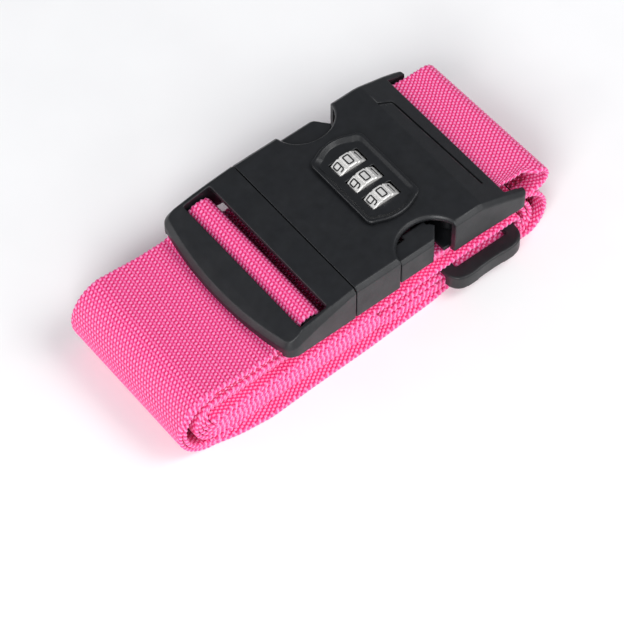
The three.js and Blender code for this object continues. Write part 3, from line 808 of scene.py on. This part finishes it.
def top_cover():
    inner = HALF - WALL
    ceiling = EDGE - 1.7
    low_ceiling = ceiling - 3.9
    cavity = prism_y([
        (-1, 0), (-1, ceiling), (CREASE, ceiling), (PANEL_END + 1, low_ceiling),
        (OPEN_END, low_ceiling), (OPEN_END, 0),
    ], -inner, inner)
    exit_gap = box(PANEL_END, OPEN_END, -EAR_INNER, EAR_INNER, *THROUGH)
    shell = cut(socket_shell(), cavity, exit_gap)
    back_wall = box(43, 44.6, -inner - 0.5, inner + 0.5, SOLE + 2, ceiling + 0.5)
    bosses = [rod_z(x, y, BOSS_R, SOLE + FLOOR + GAP, ceiling + 0.5) for x, y in SCREWS]
    join(shell, back_wall, *bosses)
    for side in (-1, 1):
        lip = frustum(notch(side), notch(side, 0.7), EDGE - 0.7, EDGE + 0.01)
        cut(shell, prism(notch(side), *THROUGH), lip)
    holes = [rod_z(x, y, PILOT_R, 0, PILOT_TOP) for x, y in SCREWS]
    cut(shell, *holes, prism(bezel_outline(BEZEL_RIM), 20, 50))
    piece = cut(mould(shell, "socket_top_shell", voxel=0.25, rounds=4), label_groove())
    finish_piece(piece, "socket", BLACK, "black_plastic", "socket_top_cover")


def bottom_cover():
    half = HALF - WALL - GAP
    rise = 0.3
    plate = prism_y([
        (SEAM, SOLE), (CREASE, SOLE), (SOCKET_END - 0.5, SOLE + rise), (SOCKET_END - 0.5, SOLE + FLOOR),
        (SEAM, SOLE + FLOOR),
    ], -half, half)
    tools = []
    for x, y in SCREWS:
        tools += [rod_z(x, y, SHANK_R, *THROUGH), rod_z(x, y, HEAD_R, 0, SOLE + HEAD_DEPTH)]
    for side in (-1, 1):
        across = sorted((side * PAD_ROOM_Y, side * BEYOND))
        tools.append(box(*PAD_ROOM_X, *across, *THROUGH))
    tools.append(box(*RESET_HOLE, *THROUGH))
    for tool in tools:
        cut(plate, tool)
    piece = mould(plate, "socket_bottom_shell", voxel=0.25, rounds=3, share=0.25)
    finish_piece(piece, "socket", BLACK, "black_plastic", "socket_bottom_cover")


def bezel():
    """A raised rim with bowed ends: an upright outside, a small crest and a broad inner slope."""
    steps = [(0.25, GAP), (0.0, 0.5), (0.0, 1.3), (0.25, BEZEL_TOP)]
    body = loft([[(x, y, EDGE + z) for x, y in bezel_outline(inset)] for inset, z in steps])
    slope = [(1.9, BEZEL_PLATE), (1.0, BEZEL_TOP - 0.2), (0.8, BEZEL_TOP), (0.7, BEZEL_TOP + 1)]
    cut(body, loft([[(x, y, EDGE + z) for x, y in bezel_outline(inset)] for inset, z in slope]))
    inlay = BEZEL_RIM + GAP
    collar = prism(bezel_outline(inlay), EDGE - 0.6, EDGE + BEZEL_PLATE - 0.1)
    join(body, cut(collar, prism(bezel_outline(inlay + 1), SOLE, EDGE)))
    half_x, half_y = WINDOW_LENGTH / 2, WINDOW_WIDTH / 2
    for k in (-1, 0, 1):
        y = k * DIAL_PITCH
        cut(body, box(DIAL_X - half_x, DIAL_X + half_x, y - half_y, y + half_y, *THROUGH))
    piece = mould(body, "dial_frame", voxel=0.13, rounds=9, share=0.25)
    finish_piece(piece, "socket", GLOSS, "bezel_plastic", "dial_bezel")


# ---------------------------------------------------------------- dials
def rounded_box(w, h, r):
    """A closed line round a box with rounded corners, about its middle."""
    line = []
    for sx, sy, start in ((1, 1, 0), (-1, 1, 90), (-1, -1, 180), (1, -1, 270)):
        line += arc(sx * (w - r), sy * (h - r), r, start, start + 90, 30)
    return line


DIGIT_W, DIGIT_H = 0.95, 1.5
DIGIT_LINE = 0.22


def digit_strokes(number):
    """Lines of a digit, about its middle: (points, closed)."""
    w, h, r = DIGIT_W, DIGIT_H, 0.35
    top_loop = [(x, y + h / 2) for x, y in rounded_box(w, h / 2, r)]
    low_loop = [(x, y - h / 2) for x, y in rounded_box(w, h / 2, r)]
    long_loop = [(x, y + h * 0.38) for x, y in rounded_box(w, h * 0.62, r)]
    hook_top = [(-w, h * 0.6), (-w, h - r), (-w + r, h), (w - r, h), (w, h - r)]
    hook_low = [(-w, -h * 0.6), (-w, -h + r), (-w + r, -h), (w - r, -h), (w, -h + r)]
    return {
        0: [(rounded_box(w, h, r), True)],
        1: [([(-w * 0.5, h * 0.6), (0.1, h), (0.1, -h)], False)],
        2: [(hook_top + [(w, 0.2), (-w, -h), (w, -h)], False)],
        3: [(hook_top + [(w, r), (w - r, 0), (-0.2, 0)], False),
            (hook_low + [(w, -r), (w - r, 0)], False)],
        4: [([(w * 0.5, -h), (w * 0.5, h), (-w, -h * 0.35), (w, -h * 0.35)], False)],
        5: [([(w, h), (-w, h), (-w, 0.1), (w - r, 0.1), (w, -r), *hook_low[::-1]], False)],
        6: [(low_loop, True), ([(w * 0.8, h), (-w + r, h), (-w, h - r), (-w, -h / 2)], False)],
        7: [([(-w, h), (w, h), (-w * 0.2, -h)], False)],
        8: [(top_loop, True), (low_loop, True)],
        9: [(long_loop, True), ([(-w * 0.4, -h), (w - r, -h), (w, -h + r), (w, 0)], False)],
    }[number]


def ribbon_line(points, closed, width, depth):
    """Vertices and faces of a flat raised line."""
    p = [Vector(q) for q in points]
    n = len(p)
    verts, faces = [], []
    for i in range(n):
        before = p[i - 1] if closed or i else p[i]
        after = p[(i + 1) % n] if closed or i < n - 1 else p[i]
        d0 = (p[i] - before).normalized() if (p[i] - before).length else (after - p[i]).normalized()
        d1 = (after - p[i]).normalized() if (after - p[i]).length else d0
        d = (d0 + d1).normalized() if (d0 + d1).length > 0.1 else d0
        reach = width / max(0.45, d.dot(d1))
        side = Vector((-d.y, d.x)) * reach
        for sign, z in ((1, depth), (-1, depth), (-1, -depth), (1, -depth)):
            q = p[i] + side * sign
            verts.append((q.x, q.y, z))
    for i in range(n if closed else n - 1):
        a, b = i * 4, (i + 1) % n * 4
        faces += [[a + k, a + (k + 1) % 4, b + (k + 1) % 4, b + k] for k in range(4)]
    if not closed:
        faces += [[3, 2, 1, 0], [n * 4 - 4 + k for k in range(4)]]
    return verts, faces


def dial_section():
    """The decagon with a narrow groove between each two faces."""
    section = []
    half_face = DIAL_R * math.sin(DIAL_TURN / 2)
    groove, depth = 0.55, 0.45
    for k in range(DIAL_FACES):
        a = k * DIAL_TURN
        for across, out in ((half_face - groove, 0), (half_face - groove * 0.6, -depth)):
            for sign in (1, -1):
                section.append((
                    a - sign * across / DIAL_FLAT_R, math.hypot(DIAL_FLAT_R + out, across)))
    section.sort()
    return section


def number_dial(n):
    y = (2 - n) * DIAL_PITCH
    half = DIAL_THICK / 2
    edge = 0.25
    rings = []
    for dy, shrink in ((-half, edge), (-half + edge, 0), (half - edge, 0), (half, edge)):
        rings.append([
            (DIAL_X + (r - shrink) * math.sin(a), y + dy, DIAL_Z + (r - shrink) * math.cos(a))
            for a, r in dial_section()
        ])
    wheel = cut(loft(rings), rod_y(DIAL_X, DIAL_Z, DIAL_BORE, y - 5, y + 5))
    wheel.name = wheel.data.name = f"dial_wheel_{n}"
    bevel(wheel, 0.06, 20)
    settle(wheel)
    finish_piece(wheel, f"dial_{n}", ZINC, "dial_metal", f"number_dial_{n}")

    points, faces = [], []
    for number in range(DIAL_FACES):
        turn = Matrix.Rotation(number * DIAL_TURN, 4, "Y")
        place = Matrix.Translation((DIAL_X, y, DIAL_Z)) @ turn
        for line, closed in digit_strokes(number):
            verts, sides = ribbon_line(line, closed, DIGIT_LINE, 0.04)
            start = len(points)
            points += [tuple(place @ Vector((a, b, c + DIAL_FLAT_R + 0.01))) for a, b, c in verts]
            faces += [[start + i for i in side] for side in sides]
    digits = face_outwards(make(f"dial_digits_{n}", points, faces))
    finish_piece(digits, f"dial_{n}", INK, "black_plastic")


# ---------------------------------------------------------------- tri-glide keeper
HANK_Y = -2           # the keeper sits a little off the buckle's middle
KEEPER_X0, KEEPER_X1, KEEPER_LOW, KEEPER_HIGH = 32.6, 59.4, 4.2, 9.5
KEEPER_CORNER, KEEPER_HALF, KEEPER_BAR = 6, 31.1, 4
KEEPER_PLAY = 1.1
KEEPER_MIDDLE = (44.4, 47.6)


def tri_glide():
    x0, x1, corner = KEEPER_X0, KEEPER_X1, KEEPER_CORNER
    middle_x = (x0 + x1) / 2
    waist = 0.35
    rail = []
    for i in range(25):
        x = x0 + corner + (x1 - x0 - 2 * corner) * i / 24
        bend = math.cos((x - middle_x) / (x1 - x0 - 2 * corner) * math.pi) ** 2
        rail.append((x, KEEPER_HALF - waist * bend))
    side = [(x0, KEEPER_HALF - corner)]
    side += quadratic((x0, KEEPER_HALF - corner), (x0, KEEPER_HALF), rail[0], 10)
    side += rail[1:]
    side += quadratic(rail[-1], (x1, KEEPER_HALF), (x1, KEEPER_HALF - corner), 10)
    outline = [(x, HANK_Y + y) for x, y in side] + [(x, HANK_Y - y) for x, y in reversed(side)]
    y0 = HANK_Y - WEB_WIDTH / 2 - KEEPER_PLAY
    y1 = HANK_Y + WEB_WIDTH / 2 + KEEPER_PLAY
    web_top = KEEPER_Z + WEB_THICK / 2 + GAP
    web_under = KEEPER_Z - WEB_THICK / 2 - GAP
    frame_piece = prism(outline, KEEPER_LOW, KEEPER_HIGH)
    cut(frame_piece, box(x0 - 1, x1 + 1, y0, y1, 0, web_top))
    cut(frame_piece, box(x0 + KEEPER_BAR, x1 - KEEPER_BAR, y0, y1, *THROUGH))
    middle = box(*KEEPER_MIDDLE, y0 - 0.5, y1 + 0.5, KEEPER_LOW, web_under)
    join(frame_piece, middle)
    piece = mould(frame_piece, "keeper_tri_glide", rounds=9)
    finish_piece(piece, "tri_glide", BLACK, "black_plastic", "tri_glide")


# ---------------------------------------------------------------- CAD pieces that stay
def dress(node, material, bevel_mm=0.12):
    """A CAD piece keeps its mesh, with rounded edges and its own material."""
    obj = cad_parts[node]
    obj.data.materials.clear()
    obj.data.materials.append(material)
    bevel(obj, bevel_mm * MM, 35)


# ---------------------------------------------------------------- stage
def floor():
    plane = make("floor", [(-3, -3, 0), (3, -3, 0), (3, 3, 0), (-3, 3, 0)], [[0, 1, 2, 3]])
    nodes = Nodes("pale_floor")
    nodes.set(Roughness=0.7, Specular_IOR_Level=0.2)
    nodes.ramp(nodes.object_noise(30, 2), [(0.3, (0.93, 0.925, 0.925)), (0.7, (0.96, 0.955, 0.955))],
               nodes.shader.inputs["Base Color"])
    plane.data.materials.append(nodes.material)


def softbox(name, direction, distance, size, power):
    """A square area light that faces the object from a direction, in metres and watts."""
    data = bpy.data.lights.new(name, "AREA")
    data.shape = "SQUARE"
    data.size = size
    data.energy = power
    lamp = bpy.data.objects.new(name, data)
    bpy.context.scene.collection.objects.link(lamp)
    back = Vector(direction).normalized()
    lamp.location = back * distance
    lamp.rotation_mode = "QUATERNION"
    lamp.rotation_quaternion = back.to_track_quat("Z", "Y")


def lights():
    world = bpy.data.worlds.new("studio")
    bpy.context.scene.world = world
    world.use_nodes = True
    world.node_tree.nodes["Background"].inputs["Color"].default_value = (0.96, 1, 1.07, 1)
    world.node_tree.nodes["Background"].inputs["Strength"].default_value = 0.26
    softbox("left", (-0.9, 0.36, 0.24), 0.9, 0.5, 2.0)
    softbox("front", (0.35, -0.85, 0.38), 1.0, 0.5, 2.2)
    softbox("key", (-0.62, -0.5, 0.6), 1.6, 0.8, 18)
    softbox("fill", (0.45, -0.4, 0.8), 1.7, 0.9, 12)


VIEW_ANGLES = (-38.492, 55.527, -0.292)      # azimuth, elevation and roll, in degrees
VIEW_TARGET = (-14.12, -25.931, EDGE)
VIEW_DISTANCE = 854.71
VIEW_LENS = 180.1


def camera():
    """A long lens, from the front left and well above the buckle."""
    azimuth, elevation, roll = (math.radians(a) for a in VIEW_ANGLES)
    target = at(*VIEW_TARGET)
    back = Vector((
        math.sin(azimuth) * math.cos(elevation), -math.cos(azimuth) * math.cos(elevation),
        math.sin(elevation),
    ))
    right = Vector((math.cos(azimuth), math.sin(azimuth), 0))
    up = back.cross(right)
    across = right * math.cos(roll) + up * math.sin(roll)
    upright = up * math.cos(roll) - right * math.sin(roll)
    data = bpy.data.cameras.new("camera")
    data.lens = VIEW_LENS
    data.sensor_width = 36
    data.clip_start = 0.01
    data.clip_end = 20
    obj = bpy.data.objects.new("camera", data)
    bpy.context.scene.collection.objects.link(obj)
    place = Matrix((across, upright, back)).transposed().to_4x4()
    place.translation = target + back * VIEW_DISTANCE * MM
    obj.matrix_world = place
    bpy.context.scene.camera = obj


# ---------------------------------------------------------------- assembly
camera()
lights()
floor()
bpy.context.scene.view_settings.view_transform = "Standard"

lower_layers()
hank()
plug_loop()
socket_loop()

plug()
release_arm(-1, "near")
release_arm(1, "far")
top_cover()
bottom_cover()
bezel()
tri_glide()
for n in (1, 2, 3):
    number_dial(n)
    dress(f"cam_sleeve_{n}", BLACK)

for node in ("lock_chassis", "reset_slider", "lock_blocker"):
    dress(node, BLACK, 0.2)
for node in ("webbing_pin", "dial_shaft"):
    dress(node, STEEL)
for node in ("detent_spring", "shaft_spring", "blocker_spring"):
    dress(node, STEEL, 0.03)
for i in range(len(SCREWS)):
    dress(f"cover_screw_{i + 1}", STEEL, 0.08)
